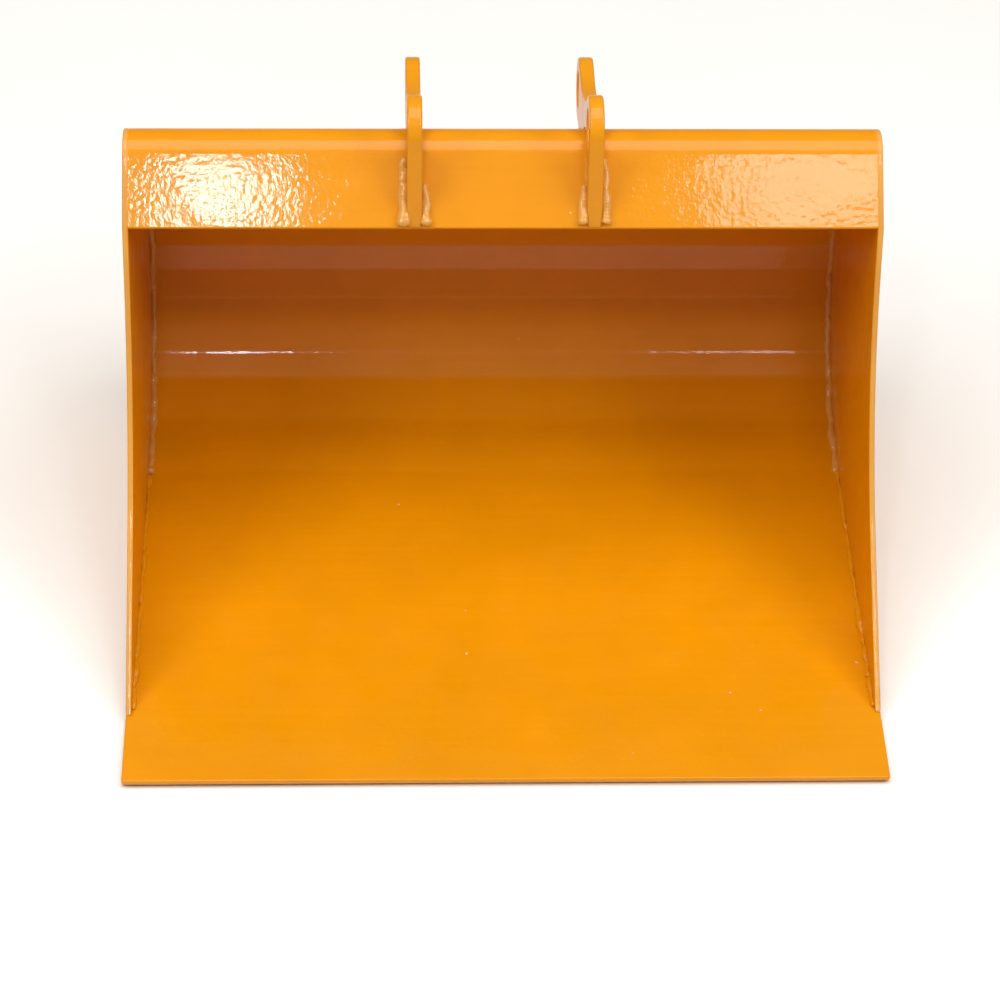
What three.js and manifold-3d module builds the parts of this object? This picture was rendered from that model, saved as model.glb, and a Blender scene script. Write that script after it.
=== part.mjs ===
// Smooth-edged ditching and grading bucket for a mini digger of about one tonne.
// Welded from plate: one bent wrapper, two side plates, a cutting edge and two hanger ears.
// Millimetres. X runs across the bucket, the mouth faces -Y, Z is up, and the bucket stands on its floor.
// Side outlines are drawn in a (y, z) plane whose zero is the front of the lip at ground level, and the
// finished bucket is then moved so that the origin is the middle of the bottom of its bounding box.

import * as THREE from 'three';
import { mergeVertices } from 'three/addons/utils/BufferGeometryUtils.js';
import Module from 'manifold-3d';

// ---------------------------------------------------------------- driving dimensions

// whole bucket
const bucketWidth = 500;         // across the outer faces of the side plates
const floorEnd = 299;            // lip to where the flat floor starts to curve up
const backRadius = 128;          // inside radius of the curved back
const roofAngle = 41;            // slope of the flat roof behind the crest, degrees
const mouthY = 259;              // lip to the upper edge of the mouth
const mouthZ = 256;              // height of the upper edge of the mouth
const bandAngle = 45;            // slope of the front band between mouth and crest, degrees
const crestRadius = 15;          // inside bend radius between roof and band

// plates
const wrapperThickness = 5;
const sideThickness = 4;
const edgeThickness = 6;
const edgeDepth = 90;            // front to back length of the cutting edge
const edgeBevel = 3;             // chamfer on the underside of the lip
const seamGroove = 2.6;          // depth of the weld groove under the floor seam

// front outline of the side plates
const footY = 58;                // lip to the foot of the side plate's front edge
const kneeY = 221;               // corner that the hollow front edge is rounded from
const kneeZ = 131;
const kneeRadius = 280;

// ears
const earThickness = 10;
const earGap = 108;              // clear width between the ears
const lobeRadius = 22;
const pinHoleRadius = 12.7;      // for a 25 mm pin
const pinSpacing = 111;
const pinLineAngle = 22.3;       // how far the line of pins falls towards the back, degrees
const pinSetForward = 13;        // front pin ahead of the top of the crest
const pinAboveShell = 1.5;        // top of the crest to the bottom of the front pin hole
const saddleHeight = 8;          // dip between the lobes, above the line of pins
const earFootLength = 58;        // how far the ear's foot reaches down the roof from the crest

// weld beads
const cornerLeg = 6;             // inside corners
const earLeg = 6;                // ears to wrapper
const footLeg = 5;               // side plates to cutting edge
const earBeadLength = 26;        // short bead inside each ear's front foot
const beadEnd = 6;               // distance kept from a plate's end to the end of a bead
const beadSplit = 3;             // space between one run and the next

const gap = 0.3;                 // clearance between touching pieces
const arcStep = 4;               // degrees per facet on curved plates
const holeSegments = 48;
const beadStep = 9;              // length of one straight facet of a bead

// ---------------------------------------------------------------- library for cutting and joining

const wasm = await Module();
wasm.setup();

function toSolid(geometry) {
  const bare = geometry.clone();
  for (const name of Object.keys(bare.attributes)) {
    if (name !== 'position') bare.deleteAttribute(name);
  }
  const merged = mergeVertices(bare, 1e-4);
  const vertProperties = new Float32Array(merged.attributes.position.array);
  const triVerts = new Uint32Array(merged.index.array);
  return new wasm.Manifold(new wasm.Mesh({ numProp: 3, vertProperties, triVerts }));
}

function toGeometry(solid) {
  const { vertProperties, triVerts } = solid.getMesh();
  const indexed = new THREE.BufferGeometry();
  indexed.setAttribute('position', new THREE.BufferAttribute(new Float32Array(vertProperties), 3));
  indexed.setIndex(new THREE.BufferAttribute(new Uint32Array(triVerts), 1));
  const flat = indexed.toNonIndexed();
  flat.computeVertexNormals();
  return flat;
}

// ---------------------------------------------------------------- small helpers

const radians = THREE.MathUtils.degToRad;
const point = (y, z) => new THREE.Vector2(y, z);
const direction = (angle) => point(Math.cos(angle), Math.sin(angle));

// an outline in (y, z), thickened from x = low to x = high
function slab(shape, low, high) {
  const geometry = new THREE.ExtrudeGeometry(shape, { depth: high - low, bevelEnabled: false });
  geometry.translate(0, 0, low);
  const across = new THREE.Matrix4().makeBasis(
    new THREE.Vector3(0, 1, 0), new THREE.Vector3(0, 0, 1), new THREE.Vector3(1, 0, 0));
  return geometry.applyMatrix4(across);
}

function arcPoints(centre, radius, from, to) {
  const count = Math.max(2, Math.ceil(Math.abs(to - from) / radians(arcStep)));
  return Array.from({ length: count + 1 }, (_, i) => {
    const spoke = direction(from + (to - from) * i / count);
    return centre.clone().addScaledVector(spoke, radius);
  });
}

// a corner replaced by an arc of the given radius
function roundedCorner(before, corner, after, radius) {
  const toBefore = before.clone().sub(corner).normalize();
  const toAfter = after.clone().sub(corner).normalize();
  const half = Math.acos(toBefore.dot(toAfter)) / 2;
  const middle = toBefore.clone().add(toAfter).normalize();
  const centre = corner.clone().addScaledVector(middle, radius / Math.sin(half));
  const start = corner.clone().addScaledVector(toBefore, radius / Math.tan(half)).sub(centre);
  const end = corner.clone().addScaledVector(toAfter, radius / Math.tan(half)).sub(centre);
  const turn = Math.atan2(start.cross(end), start.dot(end));
  return arcPoints(centre, radius, start.angle(), start.angle() + turn);
}

// ---------------------------------------------------------------- side profile of the wrapper

const floorTop = edgeThickness;
const seamY = edgeDepth + gap;
const roofNormal = radians(90 - roofAngle);
const bandNormal = radians(90 + bandAngle);
const backCentre = point(floorEnd, floorTop + backRadius);
const mouthCorner = point(mouthY, mouthZ);

// the centre of the crest's bend lies its own radius inside both the roof and the band
function findCrestCentre() {
  const roof = direction(roofNormal);
  const band = direction(bandNormal);
  const roofReach = roof.dot(backCentre) + backRadius - crestRadius;
  const bandReach = band.dot(mouthCorner) - wrapperThickness - crestRadius;
  const scale = roof.cross(band);
  return point(
    (roofReach * band.y - bandReach * roof.y) / scale,
    (bandReach * roof.x - roofReach * band.x) / scale);
}
const crestCentre = findCrestCentre();
const crestTop = crestCentre.y + crestRadius + wrapperThickness;

// the wrapper's inside surface, moved outwards by an offset, from the floor seam round to the mouth
function floorPoint(y, offset) {
  return point(y, floorTop - offset);
}
function backArc(offset) {
  return arcPoints(backCentre, backRadius + offset, radians(-90), roofNormal);
}
function crestArc(offset) {
  return arcPoints(crestCentre, crestRadius + offset, roofNormal, bandNormal);
}
function mouthPoint(offset) {
  return mouthCorner.clone().addScaledVector(direction(bandNormal), offset - wrapperThickness);
}
function wrapperPath(offset) {
  return [floorPoint(seamY, offset), ...backArc(offset), ...crestArc(offset), mouthPoint(offset)];
}
const skin = wrapperThickness;

// a point on the roof or band, measured from the crest's bend
function roofPoint(distance, offset) {
  const start = crestCentre.clone().addScaledVector(direction(roofNormal), crestRadius + offset);
  return start.addScaledVector(direction(radians(-roofAngle)), distance);
}
function bandPoint(distance, offset) {
  const start = crestCentre.clone().addScaledVector(direction(bandNormal), crestRadius + offset);
  return start.addScaledVector(direction(radians(180 + bandAngle)), distance);
}
const bandLength = bandPoint(0, skin).distanceTo(mouthPoint(skin));
const roofLength = roofPoint(0, 0).distanceTo(backArc(0).at(-1));

// ---------------------------------------------------------------- plates

const insideX = bucketWidth / 2 - sideThickness;

function makeWrapper() {
  const inner = wrapperPath(0);
  const outer = wrapperPath(skin).reverse();
  const grooveEdge = point(seamY + seamGroove, floorTop - skin);
  const grooveTop = point(seamY, floorTop - skin + seamGroove);
  outer.splice(-1, 1, grooveEdge, grooveTop);
  return slab(new THREE.Shape([...inner, ...outer]), -insideX + gap, insideX - gap);
}

function makeCuttingEdge() {
  const underside = floorTop - skin;
  const outline = new THREE.Shape([
    point(edgeBevel, 0),
    point(edgeDepth - seamGroove - underside, 0),
    point(edgeDepth, underside + seamGroove),
    point(edgeDepth, edgeThickness),
    point(0, edgeThickness),
    point(0, edgeThickness / 2),
  ]);
  return slab(outline, -bucketWidth / 2, bucketWidth / 2);
}

function sidePlateOutline() {
  const foot = point(footY, edgeThickness + gap);
  const knee = point(kneeY, kneeZ);
  const mouth = mouthPoint(skin);
  const outer = [...backArc(skin), ...crestArc(skin), mouth];
  return new THREE.Shape([
    foot,
    point(seamY, edgeThickness + gap),
    floorPoint(seamY, skin),
    ...outer,
    ...roundedCorner(mouth, knee, foot, kneeRadius),
  ]);
}

function makeSidePlate(side) {
  const near = side * insideX;
  const far = side * bucketWidth / 2;
  return slab(sidePlateOutline(), Math.min(near, far), Math.max(near, far));
}

// ---------------------------------------------------------------- ears

const frontPin = point(crestCentre.x - pinSetForward, crestTop + pinAboveShell + pinHoleRadius);
const rearPin = frontPin.clone().addScaledVector(direction(radians(-pinLineAngle)), pinSpacing);

// where a line from a point touches a lobe, on the left or on the right of the way to it
function tangentPoint(from, pin, hand) {
  const way = pin.clone().sub(from);
  const lean = hand * Math.asin(lobeRadius / way.length());
  const reach = Math.sqrt(way.lengthSq() - lobeRadius ** 2);
  return from.clone().addScaledVector(direction(way.angle() + lean), reach);
}
const bearing = (from, to) => to.clone().sub(from).angle();

function earOutline() {
  const frontFoot = mouthPoint(skin + gap);
  const rearFoot = roofPoint(earFootLength, skin);
  const rearRoot = roofPoint(earFootLength, skin / 2);

  const frontTouch = tangentPoint(frontFoot, frontPin, 1);
  const rearTouch = tangentPoint(rearFoot, rearPin, -1);

  const halfSpan = pinSpacing / 2;
  const saddleRadius = (halfSpan ** 2 + saddleHeight ** 2 - lobeRadius ** 2)
    / (2 * (lobeRadius - saddleHeight));
  const saddleCentre = frontPin.clone().lerp(rearPin, 0.5)
    .addScaledVector(direction(radians(90 - pinLineAngle)), saddleHeight + saddleRadius);

  const outline = new THREE.Shape();
  outline.moveTo(frontFoot.x, frontFoot.y);
  outline.lineTo(frontTouch.x, frontTouch.y);
  outline.absarc(frontPin.x, frontPin.y, lobeRadius,
    bearing(frontPin, frontTouch), bearing(frontPin, saddleCentre), true);
  outline.absarc(saddleCentre.x, saddleCentre.y, saddleRadius,
    bearing(saddleCentre, frontPin), bearing(saddleCentre, rearPin), false);
  outline.absarc(rearPin.x, rearPin.y, lobeRadius,
    bearing(rearPin, saddleCentre), bearing(rearPin, rearTouch), true);
  outline.lineTo(rearFoot.x, rearFoot.y);
  outline.lineTo(rearRoot.x, rearRoot.y);
  return new THREE.Shape(outline.extractPoints(18).shape);
}

function pinHole(pin) {
  const drill = new THREE.CylinderGeometry(pinHoleRadius, pinHoleRadius, bucketWidth, holeSegments);
  return toSolid(drill.rotateZ(Math.PI / 2).translate(0, pin.x, pin.y));
}

function makeEar(side) {
  const near = side * earGap / 2;
  const far = side * (earGap / 2 + earThickness);
  const blank = toSolid(slab(earOutline(), Math.min(near, far), Math.max(near, far)));
  const seat = new THREE.Shape([...wrapperPath(skin + gap), point(mouthY, floorTop)]);
  return toGeometry(blank
    .subtract(toSolid(slab(seat, -bucketWidth, bucketWidth)))
    .subtract(pinHole(frontPin))
    .subtract(pinHole(rearPin)));
}

// ---------------------------------------------------------------- weld beads

// A quarter-round bead in the corner between a plate that the bead follows and a wall at x = wallX.
// growX is the way the bead stands off the wall. Every route runs the way the wrapper's path does,
// from the floor round to the mouth, and rise is 1 on the wrapper's inside and -1 on its outside.
function bead(route, wallX, growX, rise, leg) {
  const corners = route.map((p) => new THREE.Vector3(wallX + growX * gap, p.x, p.y));
  const path = new THREE.CatmullRomCurve3(corners, false, 'centripetal');
  const steps = Math.max(2, Math.round(path.getLength() / beadStep));

  // the section is drawn in the curve's own frame, whichever way that frame starts
  const frame = path.computeFrenetFrames(steps);
  const offWall = new THREE.Vector3(growX, 0, 0);
  const offPlate = new THREE.Vector3(1, 0, 0).cross(frame.tangents[0]).multiplyScalar(rise);
  const place = (offset) => point(offset.dot(frame.normals[0]), offset.dot(frame.binormals[0]));

  const section = [point(0, 0)];
  for (let angle = 0; angle <= 90; angle += 15) {
    const spoke = direction(radians(angle)).multiplyScalar(leg);
    const offset = offWall.clone().multiplyScalar(spoke.x).addScaledVector(offPlate, spoke.y);
    section.push(place(offset));
  }
  const shape = new THREE.Shape(section);
  return new THREE.ExtrudeGeometry(shape, { steps, bevelEnabled: false, extrudePath: path });
}

// a stretch of straight plate, as points close enough for the curve through them to stay straight
function straight(from, to) {
  return [0, 0.34, 0.67, 1].map((t) => from.clone().lerp(to, t));
}

// inside corners, between the wrapper and a side plate
function floorRun() {
  return straight(floorPoint(seamY + beadEnd, -gap), floorPoint(floorEnd - beadSplit, -gap));
}
function backRun() {
  return backArc(-gap);
}
function roofRun() {
  return straight(roofPoint(roofLength - beadSplit, -gap), roofPoint(beadEnd, -gap));
}
function makeCornerBead(route, side) {
  return bead(route, side * insideX, -side, 1, cornerLeg);
}

// the foot of a side plate on the cutting edge
function makeFootBead(side) {
  const height = edgeThickness + gap;
  const route = straight(point(footY + beadEnd, height), point(edgeDepth - beadSplit, height));
  return bead(route, side * insideX, -side, 1, footLeg);
}

// the groove under the seam between floor and cutting edge, with sides at 45 degrees
function makeSeamBead() {
  const underside = floorTop - skin;
  const crown = underside - gap;
  const middle = edgeDepth + gap / 2;
  const apex = underside + seamGroove + gap / 2 - gap * Math.SQRT2;
  const outline = new THREE.Shape([
    point(middle - (apex - crown), crown),
    point(middle + (apex - underside), crown),
    point(middle + (apex - underside), underside),
    point(middle, apex),
  ]);
  return slab(outline, -insideX + beadEnd, insideX - beadEnd);
}

// beads beside an ear: on the band in front of the crest and on the roof behind it
function bandRun(from, to) {
  return straight(bandPoint(from, skin + gap), bandPoint(to, skin + gap));
}
function roofTopRun() {
  return straight(roofPoint(earFootLength - beadEnd, skin + gap), roofPoint(beadEnd, skin + gap));
}
function makeEarBead(route, side, face) {
  const wallX = side * (face === 'inside' ? earGap / 2 : earGap / 2 + earThickness);
  const growX = face === 'inside' ? -side : side;
  return bead(route, wallX, growX, -1, earLeg);
}

// ---------------------------------------------------------------- assembly

const paint = { color: 0xf79a0c, roughness: 0.3, metalness: 0 };
const finishes = {
  plate: paint,
  edge: { ...paint, color: 0xfaa21c, roughness: 0.34 },
  ear: { ...paint, color: 0xf6a01a, roughness: 0.28 },
  weld: { ...paint, color: 0xf3a431, roughness: 0.38 },
};

const bucket = new THREE.Group();

function add(name, geometry, finish) {
  const mesh = new THREE.Mesh(geometry, new THREE.MeshStandardMaterial(finishes[finish]));
  mesh.name = name;
  bucket.add(mesh);
}

add('wrapper', makeWrapper(), 'plate');
add('cutting_edge', makeCuttingEdge(), 'edge');
add('weld_floor_seam', makeSeamBead(), 'weld');

for (const [word, side] of [['left', -1], ['right', 1]]) {
  add(`side_plate_${word}`, makeSidePlate(side), 'plate');
  add(`ear_${word}`, makeEar(side), 'ear');

  add(`weld_floor_${word}`, makeCornerBead(floorRun(), side), 'weld');
  add(`weld_back_${word}`, makeCornerBead(backRun(), side), 'weld');
  add(`weld_roof_${word}`, makeCornerBead(roofRun(), side), 'weld');
  add(`weld_foot_${word}`, makeFootBead(side), 'weld');

  const longRun = bandRun(beadSplit, bandLength - beadEnd);
  const shortRun = bandRun(bandLength - beadEnd - earBeadLength, bandLength - beadEnd);
  add(`weld_ear_${word}_outside_front`, makeEarBead(longRun, side, 'outside'), 'weld');
  add(`weld_ear_${word}_inside_front`, makeEarBead(shortRun, side, 'inside'), 'weld');
  add(`weld_ear_${word}_outside_rear`, makeEarBead(roofTopRun(), side, 'outside'), 'weld');
  add(`weld_ear_${word}_inside_rear`, makeEarBead(roofTopRun(), side, 'inside'), 'weld');
}

// the origin is the middle of the bottom of the bounding box
const middle = new THREE.Box3().setFromObject(bucket).getCenter(new THREE.Vector3());
bucket.position.y = -middle.y;

const part = new THREE.Group();
part.add(bucket);
part.updateMatrixWorld(true);

export default part;
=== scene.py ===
"""Painted ditching bucket for a small digger, modelled in plate and weld over its fixed frame."""

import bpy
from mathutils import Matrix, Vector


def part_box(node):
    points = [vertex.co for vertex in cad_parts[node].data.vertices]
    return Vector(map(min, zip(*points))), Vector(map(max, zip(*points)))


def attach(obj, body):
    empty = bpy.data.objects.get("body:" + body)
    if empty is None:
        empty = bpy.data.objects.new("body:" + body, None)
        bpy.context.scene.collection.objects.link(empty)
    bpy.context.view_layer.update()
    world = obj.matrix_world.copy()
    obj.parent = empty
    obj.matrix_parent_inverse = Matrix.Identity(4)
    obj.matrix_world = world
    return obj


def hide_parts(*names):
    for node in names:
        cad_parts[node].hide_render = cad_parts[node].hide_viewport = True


bl_info = {
    "name": "Ditching Bucket",
    "version": (1, 0, 0),
    "blender": (4, 5, 0),
    "location": "View3D > Sidebar > Bucket",
    "description": "Builds a welded and painted ditching bucket over its fixed frame",
    "category": "Add Mesh",
}

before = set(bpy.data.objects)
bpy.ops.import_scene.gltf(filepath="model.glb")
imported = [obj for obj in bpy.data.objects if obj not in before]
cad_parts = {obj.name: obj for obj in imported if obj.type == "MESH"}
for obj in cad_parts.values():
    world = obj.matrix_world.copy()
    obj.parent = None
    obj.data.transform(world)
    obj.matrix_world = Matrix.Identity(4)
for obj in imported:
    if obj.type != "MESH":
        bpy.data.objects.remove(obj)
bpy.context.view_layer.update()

import math

import bmesh
import bpy
from bpy.props import FloatProperty, FloatVectorProperty, IntProperty, PointerProperty
from mathutils import Matrix, Vector

EDGE_LOW, EDGE_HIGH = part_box("cutting_edge")
WRAPPER_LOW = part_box("wrapper")[0]
SIDE_LOW, SIDE_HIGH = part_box("side_plate_right")
EAR_LOW, EAR_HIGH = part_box("ear_right")

# from plan (y, z, x) to the row frame (x, y, z): outlines are drawn flat and then stood up
STAND_UP = Matrix(((0, 0, 1, 0), (1, 0, 0, 0), (0, 1, 0, 0), (0, 0, 0, 1)))

SIDES = (("left", -1), ("right", 1))

# what counts as one place, and as nearly one place
TOUCH = 1e-5
NEAR = 0.0001

# edges sharper than SHARP are rounded, and shading breaks at HARD; arcs turn by ARC_STEP at most
SHARP = math.radians(32)
HARD = math.radians(40)
ARC_STEP = math.radians(5)
HOLE_SIDES = 72

# the side plates' feet stand clear of the cutting edge, and the floor seam is this deep and wide
FOOT_Z = EDGE_HIGH.z + 0.0003
SEAM_DEPTH = 0.002
SEAM_REACH = 0.005

# one ripple of a bead, and its round end: share of the pitch or the leg, and growth
RIPPLE = ((0.3, 1.035), (0.3, 1.01), (0.2, 0.98), (0.2, 0.9762))
ROUND_END = ((0.22, 0.86), (0.18, 0.72), (0.08, 0.5))
RIPPLE_MERGE = 0.12
BEAD_SIDES = 16

# a bead's radius, its depth in the corner and its cap, as shares of its leg
BEAD_ROUND = 0.72
BEAD_SINK = 0.3
BEAD_CAP = 0.45
LUMP_SIZE = 0.011
SPATTER_SIZE = 0.0028

# beads beside the ears stand off further, swell towards the mouth and thin towards the crest,
# and those on the roof stop well short of the crest
EAR_BEAD_ASIDE = 0.66
FRONT_SWELL = 0.8
REAR_SWELL = -0.75
CREST_CLEAR = 3

# the bead under the floor seam, as shares of its radius: leg, width and lift into the groove
SEAM_LEG = 1.9
SEAM_SPREAD = 1.5
SEAM_LIFT = 0.3

STUDIO_FLOOR_Z = -0.0004
STUDIO_FLOOR_SIZE = 14


# ---------------------------------------------------------------- settings


class BucketShellSettings(bpy.types.PropertyGroup):
    """Sizes of the bent wrapper, the cutting edge and the side plates"""

    plate: FloatProperty(
        name="Wrapper Plate",
        description="Thickness of the bent plate",
        default=0.005,
        unit="LENGTH",
    )
    back_radius: FloatProperty(
        name="Back Radius",
        description="Inside radius of the curved back",
        default=0.128,
        unit="LENGTH",
    )
    roof_angle: FloatProperty(
        name="Roof Slope",
        description="Slope of the flat roof behind the crest",
        default=math.radians(41),
        subtype="ANGLE",
    )
    band_angle: FloatProperty(
        name="Band Slope",
        description="Slope of the band between the mouth and the crest",
        default=math.radians(45),
        subtype="ANGLE",
    )
    crest_radius: FloatProperty(
        name="Crest Radius",
        description="Inside bend radius between the roof and the band",
        default=0.015,
        unit="LENGTH",
    )
    mouth_reach: FloatProperty(
        name="Mouth Reach",
        description="Lip to the upper edge of the mouth, front to back",
        default=0.259,
        unit="LENGTH",
    )
    mouth_height: FloatProperty(
        name="Mouth Height",
        description="Ground to the upper edge of the mouth",
        default=0.256,
        unit="LENGTH",
    )
    first_bend: FloatProperty(
        name="First Bend",
        description="Angle round the back to the first press-brake bend above the floor",
        default=math.radians(21),
        subtype="ANGLE",
    )
    second_bend: FloatProperty(
        name="Second Bend",
        description="Angle round the back to the second press-brake bend",
        default=math.radians(35.5),
        subtype="ANGLE",
    )
    bend_pitch: FloatProperty(
        name="Bend Pitch",
        description="Angle round the back between the close bends above the second",
        default=math.radians(9),
        subtype="ANGLE",
    )
    close_bends: IntProperty(
        name="Close Bends",
        description="Number of close bends above the second one",
        default=10,
        min=1,
    )
    bend_radius: FloatProperty(
        name="Bend Radius",
        description="Inside radius of one press-brake bend",
        default=0.03,
        unit="LENGTH",
    )
    seam_groove: FloatProperty(
        name="Seam Groove",
        description="Depth of the weld groove under the floor seam",
        default=0.0026,
        unit="LENGTH",
    )
    lip_chamfer: FloatProperty(
        name="Lip Chamfer",
        description="Chamfer on the underside of the lip",
        default=0.003,
        unit="LENGTH",
    )
    corner_radius: FloatProperty(
        name="Lip Corner",
        description="Rounding of the lip's two outer corners, seen from above",
        default=0.0025,
        unit="LENGTH",
    )
    foot_reach: FloatProperty(
        name="Side Plate Foot",
        description="Lip to the foot of the side plate's front edge",
        default=0.058,
        unit="LENGTH",
    )
    knee_reach: FloatProperty(
        name="Knee Reach",
        description="Lip to the corner that the hollow front edge is rounded from",
        default=0.221,
        unit="LENGTH",
    )
    knee_height: FloatProperty(
        name="Knee Height",
        description="Ground to the corner that the hollow front edge is rounded from",
        default=0.131,
        unit="LENGTH",
    )
    knee_radius: FloatProperty(
        name="Knee Radius",
        description="Radius of the hollow in the side plate's front edge",
        default=0.28,
        unit="LENGTH",
    )
    arris: FloatProperty(
        name="Arris",
        description="Rounding of a plate's edges under the paint",
        default=0.0011,
        unit="LENGTH",
    )


class BucketEarSettings(bpy.types.PropertyGroup):
    """Sizes of the two hanger ears"""

    lobe_radius: FloatProperty(
        name="Lobe Radius",
        description="Radius of the ear round each pin hole",
        default=0.022,
        unit="LENGTH",
    )
    hole_radius: FloatProperty(
        name="Pin Hole Radius",
        description="Radius of the pin holes",
        default=0.0127,
        unit="LENGTH",
    )
    pin_spacing: FloatProperty(
        name="Pin Spacing",
        description="Distance between the two pin holes",
        default=0.111,
        unit="LENGTH",
    )
    pin_line: FloatProperty(
        name="Pin Line",
        description="How far the line of pins falls towards the back",
        default=math.radians(22.3),
        subtype="ANGLE",
    )
    pin_forward: FloatProperty(
        name="Pin Forward",
        description="How far the front pin sits ahead of the crest's bend",
        default=0.013,
        unit="LENGTH",
    )
    saddle: FloatProperty(
        name="Saddle",
        description="Height of the dip between the lobes above the line of pins",
        default=0.008,
        unit="LENGTH",
    )
    foot_length: FloatProperty(
        name="Foot Length",
        description="How far the ear's foot reaches down the roof from the crest",
        default=0.058,
        unit="LENGTH",
    )
    seat_gap: FloatProperty(
        name="Seat Gap",
        description="Gap between the ear and the wrapper under it",
        default=0.0003,
        unit="LENGTH",
    )
    arris: FloatProperty(
        name="Arris",
        description="Rounding of the ear's edges",
        default=0.0016,
        unit="LENGTH",
    )


class BucketWeldSettings(bpy.types.PropertyGroup):
    """Sizes of the weld beads"""

    corner_leg: FloatProperty(
        name="Corner Leg",
        description="Leg of the beads in the inside corners",
        default=0.0037,
        unit="LENGTH",
    )
    ear_leg: FloatProperty(
        name="Ear Leg",
        description="Leg of the beads beside the ears",
        default=0.0031,
        unit="LENGTH",
    )
    foot_leg: FloatProperty(
        name="Foot Leg",
        description="Leg of the beads at the side plates' feet and along the floor",
        default=0.0023,
        unit="LENGTH",
    )
    ripple: FloatProperty(
        name="Ripple Pitch",
        description="Distance between two ripples along a bead",
        default=0.0024,
        unit="LENGTH",
    )
    lumps: FloatProperty(
        name="Lumps",
        description="Height of the slow unevenness along a bead",
        default=0.0042,
        unit="LENGTH",
    )
    spatter: FloatProperty(
        name="Spatter",
        description="Height of the fine unevenness on a bead",
        default=0.0007,
        unit="LENGTH",
    )
    short_run: FloatProperty(
        name="Short Run",
        description="Length of the short bead inside each ear's front foot",
        default=0.026,
        unit="LENGTH",
    )
    run_end: FloatProperty(
        name="Run End",
        description="Distance kept from a plate's end to the end of a bead",
        default=0.006,
        unit="LENGTH",
    )


class BucketPaintSettings(bpy.types.PropertyGroup):
    """Colours and surface of the paint"""

    plate_colour: FloatVectorProperty(
        name="Plate Paint",
        description="Colour of the enamel on the plates",
        default=(0.70, 0.256, 0.0),
        subtype="COLOR",
        size=3,
    )
    ear_colour: FloatVectorProperty(
        name="Ear Paint",
        description="Colour of the enamel on the ears",
        default=(0.69, 0.262, 0.003),
        subtype="COLOR",
        size=3,
    )
    # cut edge paint is paler than the plates: a painted highlight on the cut edges and on the steeper
    # beads
    highlight_colour: FloatVectorProperty(
        name="Cut Edge Paint",
        description="Colour of the thin, dusty paint on flame-cut edges",
        default=(0.66, 0.31, 0.06),
        subtype="COLOR",
        size=3,
    )
    weld_colour: FloatVectorProperty(
        name="Weld Paint",
        description="Colour of the enamel on the weld beads",
        default=(0.69, 0.262, 0.003),
        subtype="COLOR",
        size=3,
    )
    roughness: FloatProperty(
        name="Roughness",
        description="Roughness of the enamel under its gloss",
        default=0.34,
        min=0,
        max=1,
    )
    peel: FloatProperty(
        name="Orange Peel",
        description="Depth of the orange peel in the gloss",
        default=0.00009,
        unit="LENGTH",
    )


class BucketStageSettings(bpy.types.PropertyGroup):
    """Camera, lights and floor"""

    camera_place: FloatVectorProperty(
        name="Camera",
        description="Place of the camera",
        default=(-0.0853, -1.7155, 1.6224),
        subtype="TRANSLATION",
        size=3,
    )
    camera_pitch: FloatProperty(
        name="Camera Pitch",
        description="How far the camera looks down",
        default=math.radians(42.396),
        subtype="ANGLE",
    )
    camera_yaw: FloatProperty(
        name="Camera Yaw",
        description="How far the camera looks to the right",
        default=math.radians(2.859),
        subtype="ANGLE",
    )
    camera_roll: FloatProperty(
        name="Camera Roll",
        description="How far the camera is turned about its own axis",
        default=math.radians(1.768),
        subtype="ANGLE",
    )
    lens: FloatProperty(
        name="Lens",
        description="Focal length on a 36 mm sensor, in millimetres",
        default=122.04,
    )
    key_power: FloatProperty(
        name="Overhead Power",
        description="Power of the soft light overhead, in watts",
        default=45,
    )
    window_power: FloatProperty(
        name="Window Power",
        description="Power of the narrow window light, in watts",
        default=3.4,
    )
    bank_power: FloatProperty(
        name="Bank Power",
        description="Power of each soft light at the sides, in watts",
        default=25,
    )
    panel_power: FloatProperty(
        name="Panel Power",
        description="Power of the long low panel in front, in watts",
        default=5,
    )
    backdrop: FloatProperty(
        name="Backdrop",
        description="Brightness of the backdrop above the floor",
        default=1.02,
    )
    sky: FloatProperty(
        name="Sky",
        description="Strength of the even light all round",
        default=0.235,
    )


# ---------------------------------------------------------------- working in the mesh


def deselect_all():
    """Leave nothing selected and nothing active."""
    if bpy.context.mode != "OBJECT":
        bpy.ops.object.mode_set(mode="OBJECT")
    bpy.ops.object.select_all(action="DESELECT")


def pick(kind, test):
    """In edit mode, select the vertices, edges or faces whose middle passes a test."""
    bpy.ops.mesh.select_mode(type=kind)
    bpy.ops.mesh.select_all(action="DESELECT")
    mesh = bmesh.from_edit_mesh(bpy.context.object.data)
    items = {"VERT": mesh.verts, "EDGE": mesh.edges, "FACE": mesh.faces}[kind]
    found = 0
    for item in items:
        corners = [item] if kind == "VERT" else item.verts
        middle = sum((corner.co for corner in corners), Vector()) / len(corners)
        if test(middle, item):
            item.select_set(True)
            found += 1
    if not found:
        raise RuntimeError(f"nothing to pick on {bpy.context.object.name}")
    bmesh.update_edit_mesh(bpy.context.object.data)


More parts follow.
